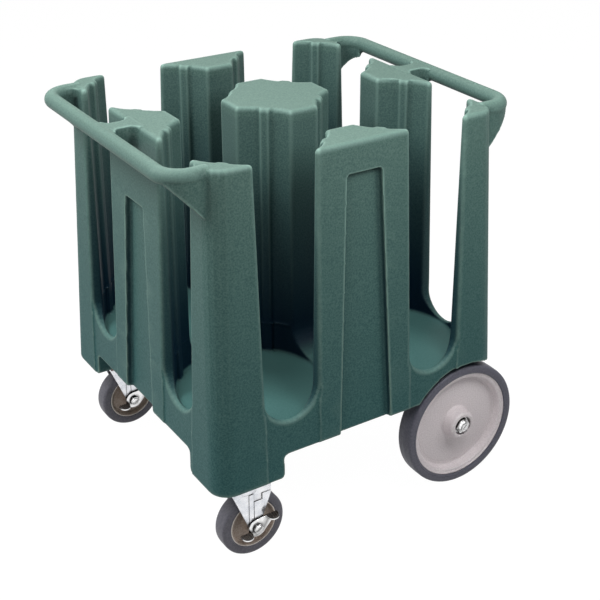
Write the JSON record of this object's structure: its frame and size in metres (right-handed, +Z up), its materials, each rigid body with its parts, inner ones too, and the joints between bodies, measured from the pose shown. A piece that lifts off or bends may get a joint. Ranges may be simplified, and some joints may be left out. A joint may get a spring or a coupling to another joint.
{
  "type": "plate dispenser cart",
  "caption": "Moulded plastic cart with four open round wells for stacked plates, rails at both ends, large fixed wheels and smaller braked swivel casters.",
  "frame": {"origin": "on the floor under the middle of the cart", "axes": "+X towards the end with the two large fixed wheels, +Y across the cart, +Z up"},
  "size_m": [0.724, 0.621, 0.768],
  "materials": {
    "moulding": "fine orange-peel texture, satin",
    "wheel_tyre": "slate grey solid rubber",
    "wheel_hub": "pale grey moulded, satin",
    "caster_tyre": "slate grey rubber",
    "caster_core": "brown-grey moulded, satin",
    "race": "brown passivated raceway",
    "brake_pad": "black ribbed rubber",
    "chrome": "polished",
    "bright_zinc": "bright zinc plated pressed steel",
    "steel": "plain steel"
  },
  "bodies": {
    "cart": {"lower_body": "moulding", "centre_tower": "moulding", "corner_tower_1": "moulding", "corner_tower_2": "moulding", "corner_tower_3": "moulding", "corner_tower_4": "moulding", "side_tower_near": "moulding", "side_tower_far": "moulding", "end_tower_caster": "moulding", "end_tower_wheel": "moulding", "rail_caster_end": "moulding", "rail_wheel_end": "moulding", "axle": "steel", "axle_hanger_near": "steel", "axle_hanger_far": "steel", "hanger_bolts": "steel", "axle_collar_near": "steel", "axle_collar_far": "steel", "wheel_washer_near": "chrome", "wheel_cap_near": "chrome", "wheel_washer_far": "chrome", "wheel_cap_far": "chrome", "caster_plate_near": "bright_zinc", "caster_bolts_near": "steel", "caster_race_near": "race", "caster_kingpin_near": "steel", "caster_plate_far": "bright_zinc", "caster_bolts_far": "steel", "caster_race_far": "race", "caster_kingpin_far": "steel"},
    "wheel_near": {"wheel_tyre_near": "wheel_tyre", "wheel_hub_near": "wheel_hub", "wheel_bearing_near": "steel"},
    "swivel_near": {"caster_fork_near": "bright_zinc", "caster_axle_bolt_near": "steel", "caster_axle_nut_near": "chrome", "brake_detent_near": "steel"},
    "caster_wheel_near": {"caster_core_near": "caster_core", "caster_tyre_near": "caster_tyre", "caster_bush_near": "steel"},
    "brake_near": {"brake_rocker_near": "bright_zinc", "brake_pads_near": "brake_pad"},
    "wheel_far": {"wheel_tyre_far": "wheel_tyre", "wheel_hub_far": "wheel_hub", "wheel_bearing_far": "steel"},
    "swivel_far": {"caster_fork_far": "bright_zinc", "caster_axle_bolt_far": "steel", "caster_axle_nut_far": "chrome", "brake_detent_far": "steel"},
    "caster_wheel_far": {"caster_core_far": "caster_core", "caster_tyre_far": "caster_tyre", "caster_bush_far": "steel"},
    "brake_far": {"brake_rocker_far": "bright_zinc", "brake_pads_far": "brake_pad"}
  },
  "joints": [
    {"name": "wheel_spin_near", "type": "hinge", "parent": "cart", "child": "wheel_near", "pos_m": [0.235, -0.2805, 0.127], "axis": [0, 1, 0], "continuous": true},
    {"name": "caster_swivel_near", "type": "hinge", "parent": "cart", "child": "swivel_near", "pos_m": [-0.234, -0.256, 0.15], "axis": [0, 0, 1], "continuous": true},
    {"name": "caster_roll_near", "type": "hinge", "parent": "swivel_near", "child": "caster_wheel_near", "pos_m": [-0.22, -0.256, 0.0635], "axis": [0, 1, 0], "continuous": true},
    {"name": "brake_tilt_near", "type": "hinge", "parent": "swivel_near", "child": "brake_near", "pos_m": [-0.22, -0.256, 0.0635], "axis": [0, 1, 0], "range_deg": [0, 52]},
    {"name": "wheel_spin_far", "type": "hinge", "parent": "cart", "child": "wheel_far", "pos_m": [0.235, 0.2805, 0.127], "axis": [0, 1, 0], "continuous": true},
    {"name": "caster_swivel_far", "type": "hinge", "parent": "cart", "child": "swivel_far", "pos_m": [-0.234, 0.256, 0.15], "axis": [0, 0, 1], "continuous": true},
    {"name": "caster_roll_far", "type": "hinge", "parent": "swivel_far", "child": "caster_wheel_far", "pos_m": [-0.22, 0.256, 0.0635], "axis": [0, 1, 0], "continuous": true},
    {"name": "brake_tilt_far", "type": "hinge", "parent": "swivel_far", "child": "brake_far", "pos_m": [-0.22, 0.256, 0.0635], "axis": [0, 1, 0], "range_deg": [0, 52]}
  ]
}
